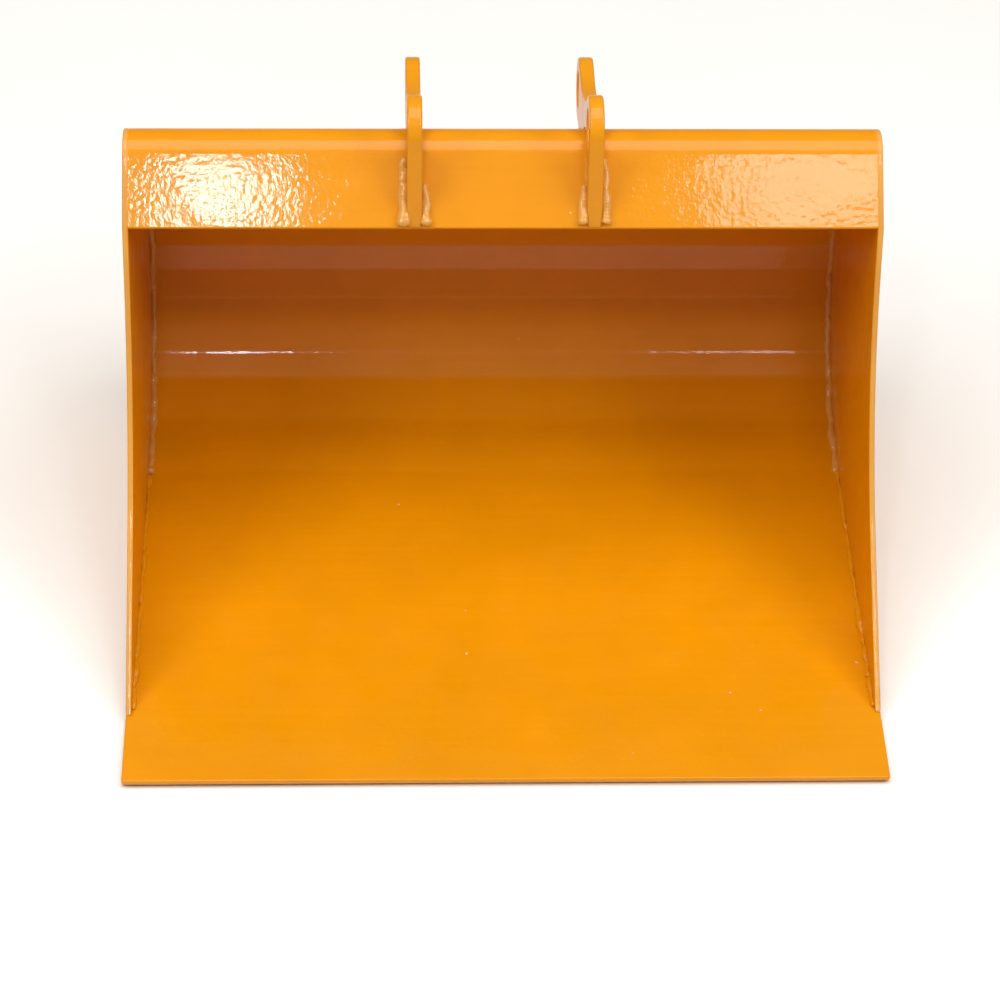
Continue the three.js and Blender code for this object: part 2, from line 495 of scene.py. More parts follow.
def draw(name, start, strokes):
    """Draw a line of edges flat: each stroke is a point to reach, or a centre and a turn about it."""
    deselect_all()
    bpy.ops.mesh.primitive_plane_add(size=0.01, location=(start.x, start.y, 0))
    bpy.context.object.name = name
    bpy.ops.object.mode_set(mode="EDIT")
    bpy.ops.mesh.select_mode(type="VERT")
    bpy.ops.mesh.select_all(action="SELECT")
    bpy.ops.mesh.merge(type="CENTER")
    here = start.copy()
    for stroke in strokes:
        if isinstance(stroke, Vector):
            step = (stroke.x - here.x, stroke.y - here.y, 0)
            bpy.ops.mesh.extrude_region_move(TRANSFORM_OT_translate={"value": step})
            here = stroke.copy()
        else:
            centre, turn = stroke
            bpy.ops.mesh.spin(
                steps=max(2, math.ceil(abs(turn) / ARC_STEP)),
                angle=-turn,
                center=(centre.x, centre.y, 0),
                axis=(0, 0, 1),
            )
            here = centre + turned(here - centre, turn)
    return bpy.context.object


def stand_up(piece, across=0.0):
    """Turn a flat drawing upright and put its place in its mesh."""
    deselect_all()
    piece.select_set(True)
    bpy.context.view_layer.objects.active = piece
    bpy.ops.object.transform_apply(location=True, rotation=True, scale=True)
    piece.matrix_world = Matrix.Translation((across, 0, 0)) @ STAND_UP
    bpy.ops.object.transform_apply(location=True, rotation=True, scale=True)


def apply_modifier(piece, kind, **settings):
    """Add one modifier to a piece and apply it."""
    bpy.context.view_layer.objects.active = piece
    modifier = piece.modifiers.new(kind.title(), kind)
    for name, value in settings.items():
        setattr(modifier, name, value)
    bpy.ops.object.modifier_apply(modifier=modifier.name)


def round_edges(piece, width, kept=lambda middle: False):
    """Round a piece's sharp edges, apart from those kept, and shade it smooth."""
    deselect_all()
    piece.select_set(True)
    bpy.context.view_layer.objects.active = piece
    bpy.ops.object.mode_set(mode="EDIT")
    pick(
        "EDGE",
        lambda middle, edge: edge.calc_face_angle(0) > SHARP and not kept(middle),
    )
    bpy.ops.mesh.bevel(offset=width, segments=3, affect="EDGES", miter_outer="ARC")
    bpy.ops.object.mode_set(mode="OBJECT")
    bpy.ops.object.shade_smooth_by_angle(angle=HARD)
    apply_modifier(piece, "WEIGHTED_NORMAL", keep_sharp=True)


def cut_plate(name, start, strokes, low, high):
    """Cut a closed outline from plate that reaches from x = low to x = high."""
    piece = draw(name, start, strokes)
    bpy.ops.mesh.select_all(action="SELECT")
    bpy.ops.mesh.remove_doubles(threshold=TOUCH)
    bpy.ops.mesh.edge_face_add()
    bpy.ops.mesh.extrude_region_move(
        TRANSFORM_OT_translate={"value": (0, 0, high - low)}
    )
    bpy.ops.mesh.select_all(action="SELECT")
    bpy.ops.mesh.normals_make_consistent(inside=False)
    bpy.ops.object.mode_set(mode="OBJECT")
    stand_up(piece, low)
    return piece


def finish(piece, material, slot, *nodes):
    """Give a piece its paint and its body, and hide the frame nodes that it stands for."""
    if not piece.data.materials:
        piece.data.materials.append(material)
    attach(piece, "root")
    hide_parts(*nodes)


# ---------------------------------------------------------------- side profile


def heading(angle):
    """Unit direction at an angle in the side view."""
    return Vector((math.cos(angle), math.sin(angle)))


def turned(spoke, angle):
    """A side-view vector turned by an angle."""
    return Matrix.Rotation(angle, 2) @ spoke


def bearing(start, end):
    """Angle of the way from one side-view point to another."""
    way = end - start
    return math.atan2(way.y, way.x)


def mouth_corner(shell):
    """Outer corner of the wrapper at the upper edge of the mouth."""
    return Vector((EDGE_LOW.y + shell.mouth_reach, shell.mouth_height))


def roof_heading(shell):
    """Direction in which the roof climbs from the back to the crest."""
    return math.pi - shell.roof_angle


def band_heading(shell):
    """Direction in which the band falls from the crest to the mouth."""
    return math.pi + shell.band_angle


def back_centre(shell):
    """Centre of the curved back."""
    reach = SIDE_HIGH.y - shell.plate - shell.back_radius
    return Vector((reach, EDGE_HIGH.z + shell.back_radius))


def outward(angle):
    """Direction out of the wrapper, where it runs at an angle."""
    return heading(angle - math.pi / 2)


def crest_centre(shell):
    """Centre of the crest's bend, its own radius inside both the roof and the band."""
    roof = outward(roof_heading(shell))
    band = outward(band_heading(shell))
    roof_reach = roof.dot(back_centre(shell)) + shell.back_radius - shell.crest_radius
    band_reach = band.dot(mouth_corner(shell)) - shell.plate - shell.crest_radius
    scale = roof.cross(band)
    return Vector(
        (
            (roof_reach * band.y - band_reach * roof.y) / scale,
            (band_reach * roof.x - roof_reach * band.x) / scale,
        )
    )


def back_bends(shell):
    """Angles round the back at which the plate is bent."""
    close = [
        shell.second_bend + shell.bend_pitch * (i + 1) for i in range(shell.close_bends)
    ]
    return [0.0, shell.first_bend, shell.second_bend, *close, roof_heading(shell)]


def wall_strokes(shell, offset):
    """The wrapper's inside surface moved outwards by an offset, from the floor round to the mouth."""
    bends = back_bends(shell)
    ways = [(a + b) / 2 for a, b in zip(bends, bends[1:])]
    headings = [0.0, *ways, roof_heading(shell)]
    strokes = []
    for bend, before, after in zip(bends, headings, headings[1:]):
        corner = back_centre(shell) + outward(bend) * shell.back_radius
        inward = -outward((before + after) / 2)
        centre = corner + inward * shell.bend_radius / math.cos((after - before) / 2)
        strokes.append(centre + outward(before) * (shell.bend_radius + offset))
        strokes.append((centre, after - before))
    strokes += crest_strokes(shell, offset)
    return strokes


def crest_strokes(shell, offset):
    """The end of the wall: up to the crest, round it and down the band to the mouth."""
    return [
        roof_point(shell, 0, offset),
        (crest_centre(shell), band_heading(shell) - roof_heading(shell)),
        mouth_point(shell, offset),
    ]


def floor_point(reach, offset=0):
    """A point on the wrapper's floor."""
    return Vector((reach, EDGE_HIGH.z - offset))


def roof_point(shell, distance, offset):
    """A point on the roof, measured down from the crest's bend."""
    way = roof_heading(shell)
    start = crest_centre(shell) + outward(way) * (shell.crest_radius + offset)
    return start - heading(way) * distance


def band_point(shell, distance, offset):
    """A point on the band, measured down from the crest's bend."""
    way = band_heading(shell)
    start = crest_centre(shell) + outward(way) * (shell.crest_radius + offset)
    return start + heading(way) * distance


def mouth_point(shell, offset):
    """The wrapper's end at the mouth, cut square."""
    way = band_heading(shell)
    return mouth_corner(shell) + outward(way) * (offset - shell.plate)


def rounded(before, corner, after, radius):
    """Strokes that round a corner with an arc."""
    way_in = bearing(before, corner)
    way_out = bearing(corner, after)
    turn = math.remainder(way_out - way_in, 2 * math.pi)
    reach = radius * math.tan(abs(turn) / 2)
    start = corner - heading(way_in) * reach
    centre = start + heading(way_in + math.copysign(math.pi / 2, turn)) * radius
    return [start, (centre, turn)]


# ---------------------------------------------------------------- paint


def new_node(tree, kind, links=(), **values):
    """Add a node, set its values and link its inputs."""
    node = tree.nodes.new(kind)
    for name, value in values.items():
        if name in node.inputs:
            node.inputs[name].default_value = value
        else:
            setattr(node, name, value)
    for name, source in links:
        tree.links.new(source, node.inputs[name])
    return node


def noise(tree, place, scale, detail=2.0, roughness=0.5, distortion=0.0):
    """Noise at a scale per metre."""
    made = new_node(tree, "ShaderNodeTexNoise", [("Vector", place)])
    made.inputs["Scale"].default_value = scale
    made.inputs["Detail"].default_value = detail
    made.inputs["Roughness"].default_value = roughness
    made.inputs["Distortion"].default_value = distortion
    return made.outputs["Fac"]


def ramp(tree, source, low, high, start=0.0, end=1.0):
    """Map a value from one range to another, and stop at the ends."""
    made = new_node(tree, "ShaderNodeMapRange", [("Value", source)])
    made.inputs["From Min"].default_value = low
    made.inputs["From Max"].default_value = high
    made.inputs["To Min"].default_value = start
    made.inputs["To Max"].default_value = end
    return made.outputs["Result"]


def blend_colour(tree, factor, first, second):
    """Mix two colours by a factor."""
    made = new_node(tree, "ShaderNodeMix", data_type="RGBA")
    tree.links.new(factor, made.inputs["Factor"])
    for socket, colour in ((made.inputs[6], first), (made.inputs[7], second)):
        if isinstance(colour, bpy.types.NodeSocket):
            tree.links.new(colour, socket)
        else:
            socket.default_value = (*colour, 1)
    return made.outputs[2]


def sum_of(tree, first, second, weight):
    """One value plus another times a weight."""
    made = new_node(
        tree, "ShaderNodeMath", [(0, second), (2, first)], operation="MULTIPLY_ADD"
    )
    made.inputs[1].default_value = weight
    return made.outputs["Value"]


def tinted(colour, factor):
    """A colour made lighter or darker."""
    return tuple(channel * factor for channel in colour)


def enamel(name, colour, paint, peel=1.0, rough=0.0, gloss=0.36):
    """Glossy sprayed enamel with uneven film, fine streaks, nibs of dust and orange peel."""
    material = bpy.data.materials.get(name)
    if material:
        return material
    material = bpy.data.materials.new(name)
    material.use_nodes = True
    tree = material.node_tree
    shader = tree.nodes["Principled BSDF"]
    place = new_node(tree, "ShaderNodeTexCoord").outputs["Object"]
    along = new_node(tree, "ShaderNodeMapping", [("Vector", place)])
    along.inputs["Scale"].default_value = (0.05, 1, 1)

    film = ramp(tree, noise(tree, place, scale=11, detail=4, roughness=0.6), 0.3, 0.7)
    grain = noise(tree, along.outputs["Vector"], scale=190, detail=3, roughness=0.7)
    streaks = ramp(tree, grain, 0.35, 0.65)
    body = blend_colour(tree, film, tinted(colour, 0.94), tinted(colour, 1.05))

    cells = new_node(tree, "ShaderNodeTexVoronoi", [("Vector", place)], Scale=46.0)
    rare = new_node(
        tree, "ShaderNodeSeparateColor", [("Color", cells.outputs["Color"])]
    )
    chosen = ramp(tree, rare.outputs["Red"], 0.80, 0.84)
    dot = ramp(tree, cells.outputs["Distance"], 0.05, 0.02)
    nibs = new_node(
        tree, "ShaderNodeMath", [(0, chosen), (1, dot)], operation="MULTIPLY"
    )
    pale = tuple(0.45 * channel + 0.4 for channel in colour)
    dusted = blend_colour(tree, nibs.outputs["Value"], body, pale)
    faint = ramp(tree, streaks, 0, 1, end=0.10)
    toned = blend_colour(tree, faint, dusted, tinted(colour, 0.72))
    tree.links.new(toned, shader.inputs["Base Color"])

    wet = ramp(tree, noise(tree, place, scale=34, detail=3), 0.3, 0.7)
    base = paint.roughness + rough
    tree.links.new(
        ramp(tree, wet, 0, 1, base - 0.06, base + 0.08), shader.inputs["Roughness"]
    )

    skin = noise(tree, place, scale=300, roughness=0.45)
    waves = noise(tree, place, scale=36, roughness=0.4)
    relief = sum_of(tree, sum_of(tree, skin, waves, 2.2), nibs.outputs["Value"], 1.6)
    bump = new_node(tree, "ShaderNodeBump", [("Height", relief)])
    bump.inputs["Strength"].default_value = 1.0
    bump.inputs["Distance"].default_value = paint.peel * peel
    tree.links.new(bump.outputs["Normal"], shader.inputs["Normal"])
    tree.links.new(bump.outputs["Normal"], shader.inputs["Coat Normal"])

    shader.inputs["IOR"].default_value = 1.25
    shader.inputs["Coat Weight"].default_value = gloss
    shader.inputs["Coat Roughness"].default_value = 0.05
    shader.inputs["Coat IOR"].default_value = 1.5
    return material


def plate_paint(paint):
    """Enamel of the wrapper, the cutting edge and the side plates."""
    return enamel("plate_enamel", tuple(paint.plate_colour), paint)


def ear_paint(paint):
    """Enamel of the ears."""
    return enamel("ear_enamel", tuple(paint.ear_colour), paint, rough=0.03)


def edge_highlight_paint(paint):
    """Rougher, paler enamel on flame-cut edges; the paler colour is a painted highlight along them.
    """
    return enamel(
        "cut_edge_highlight_enamel", tuple(paint.highlight_colour), paint, peel=1.4, rough=0.12
    )


def weld_paint(paint):
    """Enamel over the weld beads."""
    return enamel("weld_enamel", tuple(paint.weld_colour), paint, peel=2.0, rough=0.02)


def highlight_weld_paint(paint):
    """Paler, glossier enamel on the steeper beads: a painted highlight where they catch the light."""
    return enamel("highlight_weld_enamel", tuple(paint.highlight_colour), paint, peel=2.0, gloss=0.8)


# ---------------------------------------------------------------- plates


def at_floor_seam(middle):
    """Whether an edge lies in the seam between the floor and the cutting edge."""
    off = abs(middle.y - EDGE_HIGH.y)
    return off < NEAR or (middle.z < SEAM_DEPTH and off < SEAM_REACH)


class BUCKET_OT_wrapper(bpy.types.Operator):
    """Bend the wrapper from one plate"""

    bl_idname = "bucket.wrapper"
    bl_label = "Wrapper"

    def execute(self, context):
        shell = context.scene.bucket_shell
        start = floor_point(EDGE_HIGH.y)
        piece = draw("wrapper_plate", start, wall_strokes(shell, 0))
        bpy.ops.mesh.select_all(action="SELECT")
        half = SIDE_LOW.x + shell.arris
        width = 2 * half
        bpy.ops.mesh.extrude_region_move(
            TRANSFORM_OT_translate={"value": (0, 0, width)}
        )
        bpy.ops.mesh.select_all(action="SELECT")
        bpy.ops.mesh.remove_doubles(threshold=TOUCH)
        bpy.ops.mesh.normals_make_consistent(inside=False)
        bpy.ops.object.mode_set(mode="OBJECT")
        stand_up(piece, -half)
        level = EDGE_HIGH.z + NEAR
        floor_faces = [face for face in piece.data.polygons if face.center.z < level]
        up = sum(face.normal.z for face in floor_faces) > 0
        apply_modifier(
            piece,
            "SOLIDIFY",
            thickness=shell.plate,
            offset=-1 if up else 1,
            use_even_offset=True,
        )
        bpy.ops.object.mode_set(mode="EDIT")
        under = EDGE_HIGH.z - shell.plate
        pick(
            "EDGE",
            lambda middle, edge: abs(middle.y - EDGE_HIGH.y) < TOUCH
            and abs(middle.z - under) < TOUCH
            and edge.calc_length() > width / 2,
        )
        bpy.ops.mesh.bevel(offset=shell.seam_groove, segments=1, affect="EDGES")
        bpy.ops.object.mode_set(mode="OBJECT")
        round_edges(piece, shell.arris, at_floor_seam)
        finish(piece, plate_paint(context.scene.bucket_paint), "plate_paint", "wrapper")
        return {"FINISHED"}


class BUCKET_OT_cutting_edge(bpy.types.Operator):
    """Cut the cutting edge from bar"""

    bl_idname = "bucket.cutting_edge"
    bl_label = "Cutting Edge"

    def execute(self, context):
        shell = context.scene.bucket_shell
        deselect_all()
        bpy.ops.mesh.primitive_cube_add(
            size=1,
            location=(EDGE_LOW + EDGE_HIGH) / 2,
            scale=EDGE_HIGH - EDGE_LOW,
        )
        piece = context.object
        piece.name = "cutting_edge_bar"
        bpy.ops.object.transform_apply(location=True, rotation=True, scale=True)
        bpy.ops.object.mode_set(mode="EDIT")
        back_chamfer = EDGE_HIGH.z - shell.plate + shell.seam_groove
        pick("EDGE", lambda middle, edge: middle.z < TOUCH and middle.y > EDGE_HIGH.y - TOUCH)
        bpy.ops.mesh.bevel(offset=back_chamfer, segments=1, affect="EDGES")
        pick("EDGE", lambda middle, edge: middle.z < TOUCH and middle.y < EDGE_LOW.y + TOUCH)
        bpy.ops.mesh.bevel(offset=shell.lip_chamfer, segments=1, affect="EDGES")
        pick(
            "EDGE",
            lambda middle, edge: middle.y < EDGE_LOW.y + TOUCH
            and abs(abs(middle.x) - EDGE_HIGH.x) < TOUCH,
        )
        bpy.ops.mesh.bevel(offset=shell.corner_radius, segments=4, affect="EDGES")
        bpy.ops.object.mode_set(mode="OBJECT")
        round_edges(piece, shell.arris * 1.2, at_floor_seam)
        finish(
            piece, plate_paint(context.scene.bucket_paint), "edge_paint", "cutting_edge"
        )
        return {"FINISHED"}


class BUCKET_OT_side_plates(bpy.types.Operator):
    """Cut the two side plates"""

    bl_idname = "bucket.side_plates"
    bl_label = "Side Plates"

    def execute(self, context):
        shell = context.scene.bucket_shell
        paint = context.scene.bucket_paint
        foot = Vector((EDGE_LOW.y + shell.foot_reach, FOOT_Z))
        knee = Vector((EDGE_LOW.y + shell.knee_reach, shell.knee_height))
        step = Vector((WRAPPER_LOW.y, foot.y))
        strokes = [
            step,
            floor_point(WRAPPER_LOW.y, shell.plate),
            *wall_strokes(shell, shell.plate),
            *rounded(mouth_corner(shell), knee, foot, shell.knee_radius),
            foot,
        ]
        for word, side in SIDES:
            low, high = sorted((side * SIDE_LOW.x, side * SIDE_HIGH.x))
            piece = cut_plate(f"side_plate_{word}_cut", foot, strokes, low, high)
            round_edges(piece, shell.arris)
            piece.data.materials.append(plate_paint(paint))
            piece.data.materials.append(edge_highlight_paint(paint))
            # the plate's edge faces take the paler enamel, a painted highlight along the cut edges
            for face in piece.data.polygons:
                face.material_index = int(abs(face.normal.x) < 0.6)
            finish(piece, None, "plate_paint", f"side_plate_{word}")
        return {"FINISHED"}


# ---------------------------------------------------------------- ears


def pins(shell, ear):
    """Centres of the front and the rear pin hole."""
    reach = crest_centre(shell).x - ear.pin_forward
    front = Vector((reach, EAR_HIGH.z - ear.lobe_radius))
    return front, front + heading(-ear.pin_line) * ear.pin_spacing


def touch(start, pin, radius, hand):
    """Where a line from a point touches the circle round a pin, on its left or its right."""
    way = pin - start
    lean = hand * math.asin(radius / way.length)
    reach = math.sqrt(way.length_squared - radius**2)
    return start + heading(bearing(start, pin) + lean) * reach


def clockwise(start, end):
    """Turn from one bearing to another, clockwise."""
    return -((start - end) % (2 * math.pi))


def ear_strokes(shell, ear):
    """Outline of an ear: up the front, over two lobes and a saddle, and back along the wrapper."""
    seat = shell.plate + ear.seat_gap
    front_pin, rear_pin = pins(shell, ear)
    radius = ear.lobe_radius
    front_foot = mouth_point(shell, seat)
    rear_foot = roof_point(shell, ear.foot_length, seat)
    front_touch = touch(front_foot, front_pin, radius, 1)
    rear_touch = touch(rear_foot, rear_pin, radius, -1)

    half = ear.pin_spacing / 2
    saddle_radius = (half**2 + ear.saddle**2 - radius**2) / (2 * (radius - ear.saddle))
    saddle_centre = (front_pin + rear_pin) / 2
    saddle_centre += heading(math.pi / 2 - ear.pin_line) * (ear.saddle + saddle_radius)
    front_turn = clockwise(
        bearing(front_pin, front_touch), bearing(front_pin, saddle_centre)
    )
    saddle_turn = -clockwise(
        bearing(saddle_centre, rear_pin), bearing(saddle_centre, front_pin)
    )
    rear_turn = clockwise(
        bearing(rear_pin, saddle_centre), bearing(rear_pin, rear_touch)
    )
    strokes = [
        front_touch,
        (front_pin, front_turn),
        (saddle_centre, saddle_turn),
        (rear_pin, rear_turn),
        rear_foot,
        *crest_strokes(shell, seat),
    ]
    return front_foot, strokes


class BUCKET_OT_ears(bpy.types.Operator):
    """Cut the two hanger ears and drill their pin holes"""

    bl_idname = "bucket.ears"
    bl_label = "Ears"

    def execute(self, context):
        shell = context.scene.bucket_shell
        ear = context.scene.bucket_ear
        paint = context.scene.bucket_paint
        start, strokes = ear_strokes(shell, ear)
        for word, side in SIDES:
            low, high = sorted((side * EAR_LOW.x, side * EAR_HIGH.x))
            piece = cut_plate(f"ear_{word}_drilled", start, strokes, low, high)
            for pin in pins(shell, ear):
                deselect_all()
                bpy.ops.mesh.primitive_cylinder_add(
                    vertices=HOLE_SIDES,
                    radius=ear.hole_radius,
                    depth=4 * (high - low),
                    location=((low + high) / 2, pin.x, pin.y),
                    rotation=(0, math.pi / 2, 0),
                )
                drill = context.object
                apply_modifier(piece, "BOOLEAN", object=drill, operation="DIFFERENCE")
                bpy.data.objects.remove(drill)
            round_edges(piece, ear.arris)
            finish(piece, ear_paint(paint), "ear_paint", f"ear_{word}")
        return {"FINISHED"}


# ---------------------------------------------------------------- weld beads


def ripple_tube(name, leg, pitch, length):
    """A straight bead along +x from the origin, with ripples and round ends."""
    deselect_all()
    bpy.ops.mesh.primitive_circle_add(
        vertices=BEAD_SIDES, radius=BEAD_ROUND * leg, rotation=(0, math.pi / 2, 0)
    )
    piece = bpy.context.object
    piece.name = name
    bpy.ops.object.transform_apply(location=True, rotation=True, scale=True)
    bpy.ops.object.mode_set(mode="EDIT")
    bpy.ops.mesh.select_mode(type="VERT")
    bpy.ops.mesh.select_all(action="SELECT")
    here = 0.0
    for share, growth in RIPPLE:
        here += share * pitch
        bpy.ops.mesh.extrude_region_move(
            TRANSFORM_OT_translate={"value": (share * pitch, 0, 0)}
        )
        bpy.ops.transform.resize(value=(1, growth, growth), center_override=(here, 0, 0))
    bpy.ops.object.mode_set(mode="OBJECT")
    apply_modifier(
        piece,
        "ARRAY",
        count=max(2, round(length / pitch)),
        use_relative_offset=False,
        use_constant_offset=True,
        constant_offset_displace=(pitch, 0, 0),
        use_merge_vertices=True,
        merge_threshold=RIPPLE_MERGE * pitch,
    )
    end = max(vertex.co.x for vertex in piece.data.vertices)
    bpy.ops.object.mode_set(mode="EDIT")
    bpy.ops.mesh.select_all(action="SELECT")
    bpy.ops.mesh.fill_holes(sides=0)
    for face_x, way in ((0.0, -1), (end, 1)):
        pick(
            "FACE",
            lambda middle, face: len(face.verts) == BEAD_SIDES
            and way * (middle.x - face_x) > -TOUCH,
        )
        there = face_x
        for share, shrink in ROUND_END:
            there += way * share * leg
            bpy.ops.mesh.extrude_region_move(
                TRANSFORM_OT_translate={"value": (way * share * leg, 0, 0)}
            )
            bpy.ops.transform.resize(
                value=(1, shrink, shrink), center_override=(there, 0, 0)
            )
    bpy.ops.mesh.select_all(action="SELECT")
    bpy.ops.mesh.normals_make_consistent(inside=False)
    bpy.ops.object.mode_set(mode="OBJECT")
    return piece


def roughen(piece, height, size, seed):
    """Push a bead's skin in and out by slow or fine noise."""
    texture = bpy.data.textures.get(f"lumps_{size:g}")
    if texture is None:
        texture = bpy.data.textures.new(f"lumps_{size:g}", "CLOUDS")
        texture.noise_scale = size
        texture.noise_depth = 1
    # each seed reads another part of the noise
    piece.location = (0, seed * 0.37, seed * 0.11)
    bpy.context.view_layer.update()
    apply_modifier(
        piece,
        "DISPLACE",
        texture=texture,
        texture_coords="GLOBAL",
        strength=height,
        mid_level=0.5,
    )
    piece.location = (0, 0, 0)


def weld(name, start, strokes, wall_x, grow_x, rise, leg, seed, swell=0.0, aside=BEAD_SINK):
    """Lay a bead along a side-view line, in the corner between its plate and a wall at x = wall_x."""
    welds = bpy.context.scene.bucket_weld
    route = draw("bead_route", start, strokes)
    bpy.ops.mesh.select_all(action="SELECT")
    bpy.ops.mesh.remove_doubles(threshold=TOUCH)
    bpy.ops.object.mode_set(mode="OBJECT")
    bpy.ops.object.transform_apply(location=True, rotation=True, scale=True)
    length = sum(
        (route.data.vertices[a].co - route.data.vertices[b].co).length
        for a, b in (edge.vertices for edge in route.data.edges)
    )
    bpy.ops.object.convert(target="CURVE")
    route = bpy.context.object
    route.data.twist_mode = "Z_UP"

    piece = ripple_tube(name, leg, welds.ripple, length - 2 * BEAD_CAP * leg)
    if swell:
        apply_modifier(
            piece,
            "SIMPLE_DEFORM",
            deform_method="TAPER",
            deform_axis="X",
            factor=swell,
            lock_x=False,
        )
    roughen(piece, welds.lumps, LUMP_SIZE, seed)
    roughen(piece, welds.spatter, SPATTER_SIZE, seed + 0.5)
    bpy.ops.object.mode_set(mode="EDIT")
    bpy.ops.mesh.select_all(action="SELECT")
    shift = (BEAD_CAP * leg, rise * BEAD_SINK * leg, grow_x * aside * leg)
    bpy.ops.transform.translate(value=shift)
    bpy.ops.object.mode_set(mode="OBJECT")
    apply_modifier(piece, "CURVE", object=route, deform_axis="POS_X")
    bpy.data.objects.remove(route)
    stand_up(piece, wall_x)
    bpy.ops.object.shade_smooth()
    return piece


def lay_pair(pattern, route, wall, way, rise, leg, seed, material, **shape):
    """Lay one bead on each side, against a wall whose right one is at x = wall, and finish both."""
    for word, side in SIDES:
        name = pattern.format(word)
        piece = weld(
            f"bead_{name}",
            *route,
            side * wall,
            side * way,
            rise,
            leg,
            seed + side,
            **shape,
        )
        finish(piece, material, "weld_paint", f"weld_{name}")


def straight(start, end):
    """A straight run, as the start of a route and its strokes."""
    return start, [(start + end) / 2, end]


class BUCKET_OT_corner_welds(bpy.types.Operator):
    """Weld the inside corners between the wrapper and the side plates"""

    bl_idname = "bucket.corner_welds"
    bl_label = "Corner Welds"

    def execute(self, context):
        shell = context.scene.bucket_shell
        welds = context.scene.bucket_weld
        paint = context.scene.bucket_paint
        floor_end = back_centre(shell).x
        around = wall_strokes(shell, 0)
        last_centre = around[-4][0]
        roof_foot = last_centre + outward(roof_heading(shell)) * shell.bend_radius
        along_floor = straight(
            floor_point(WRAPPER_LOW.y),
            floor_point(floor_end - welds.run_end / 2),
        )
        round_back = (
            floor_point(floor_end - welds.run_end / 2),
            around[:-3],
        )
        up_roof = straight(
            roof_foot + heading(roof_heading(shell)) * welds.run_end / 2,
            roof_point(shell, welds.run_end, 0),
        )
        runs = (("floor", along_floor), ("back", round_back), ("roof", up_roof))
        for number, (run, route) in enumerate(runs):
            on_floor = run == "floor"
            # the beads round the back and up the roof take the paler enamel, a painted highlight; the
            # floor beads do not
            lay_pair(
                run + "_{}",
                route,
                SIDE_LOW.x,
                way=-1,
                rise=1,
                leg=welds.foot_leg if on_floor else welds.corner_leg,
                seed=2 * number,
                material=weld_paint(paint) if on_floor else highlight_weld_paint(paint),
            )
        return {"FINISHED"}


class BUCKET_OT_foot_welds(bpy.types.Operator):
    """Weld the feet of the side plates to the cutting edge"""

    bl_idname = "bucket.foot_welds"
    bl_label = "Foot Welds"

    def execute(self, context):
        shell = context.scene.bucket_shell
        welds = context.scene.bucket_weld
        route = straight(
            floor_point(EDGE_LOW.y + shell.foot_reach + welds.run_end),
            floor_point(EDGE_HIGH.y),
        )
        lay_pair(
            "foot_{}",
            route,
            SIDE_LOW.x,
            way=-1,
            rise=1,
            leg=welds.foot_leg,
            seed=11,
            material=weld_paint(context.scene.bucket_paint),
        )
        return {"FINISHED"}


class BUCKET_OT_seam_weld(bpy.types.Operator):
    """Fill the groove under the floor seam"""

    bl_idname = "bucket.seam_weld"
    bl_label = "Floor Seam Weld"

    def execute(self, context):
        welds = context.scene.bucket_weld
        low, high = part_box("weld_floor_seam")
        radius = (high.z - low.z) / 2
        piece = ripple_tube(
            "bead_floor_seam", SEAM_LEG * radius, welds.ripple, high.x - low.x
        )
        roughen(piece, welds.spatter, SPATTER_SIZE, 17)
        bpy.ops.object.mode_set(mode="EDIT")
        bpy.ops.mesh.select_all(action="SELECT")
        middle = (low + high) / 2
        bpy.ops.transform.resize(value=(1, SEAM_SPREAD, 1), center_override=(0, 0, 0))
        height = middle.z + SEAM_LIFT * radius
        bpy.ops.transform.translate(value=(low.x, middle.y, height))
        bpy.ops.object.mode_set(mode="OBJECT")
        bpy.ops.object.shade_smooth()
        material = weld_paint(context.scene.bucket_paint)
        finish(piece, material, "weld_paint", "weld_floor_seam")
        return {"FINISHED"}


class BUCKET_OT_ear_welds(bpy.types.Operator):
    """Weld the ears to the band and the roof"""

    bl_idname = "bucket.ear_welds"
    bl_label = "Ear Welds"

    def execute(self, context):
        shell = context.scene.bucket_shell
        ear = context.scene.bucket_ear
        welds = context.scene.bucket_weld
        skin = shell.plate
        band_end = (band_point(shell, 0, skin) - mouth_corner(shell)).length
        foot = band_end - welds.run_end / 2
        long_run = straight(
            band_point(shell, welds.run_end / 2, skin), band_point(shell, foot, skin)
        )
        short_run = straight(
            band_point(shell, foot - welds.short_run, skin),
            band_point(shell, foot, skin),
        )
        rear_run = straight(
            roof_point(shell, ear.foot_length - welds.run_end, skin),
            roof_point(shell, CREST_CLEAR * welds.run_end, skin),
        )
        runs = (
            ("outside_front", long_run),
            ("inside_front", short_run),
            ("outside_rear", rear_run),
            ("inside_rear", rear_run),
        )
        for number, (run, route) in enumerate(runs):
            inside = run.startswith("inside")
            # every ear bead takes the paler enamel, a painted highlight
            lay_pair(
                "ear_{}_" + run,
                route,
                EAR_LOW.x if inside else EAR_HIGH.x,
                way=-1 if inside else 1,
                rise=-1,
                leg=welds.ear_leg,
                seed=21 + 2 * number,
                material=highlight_weld_paint(context.scene.bucket_paint),
                swell=REAR_SWELL if run.endswith("rear") else FRONT_SWELL,
                aside=EAR_BEAD_ASIDE,
            )
        return {"FINISHED"}


# ---------------------------------------------------------------- stage


def soft_light(name, place, aim, size, power, tint=(1, 1, 1)):
    """A rectangular area light that faces a point."""
    deselect_all()
    bpy.ops.object.light_add(type="AREA", location=place)
    light = bpy.context.object
    light.name = name
    light.data.shape = "RECTANGLE"
    light.data.size, light.data.size_y = size
    light.data.energy = power
    light.data.color = tint
    light.visible_camera = False
    way = Vector(aim) - Vector(place)
    light.rotation_euler = way.to_track_quat("-Z", "Y").to_euler()


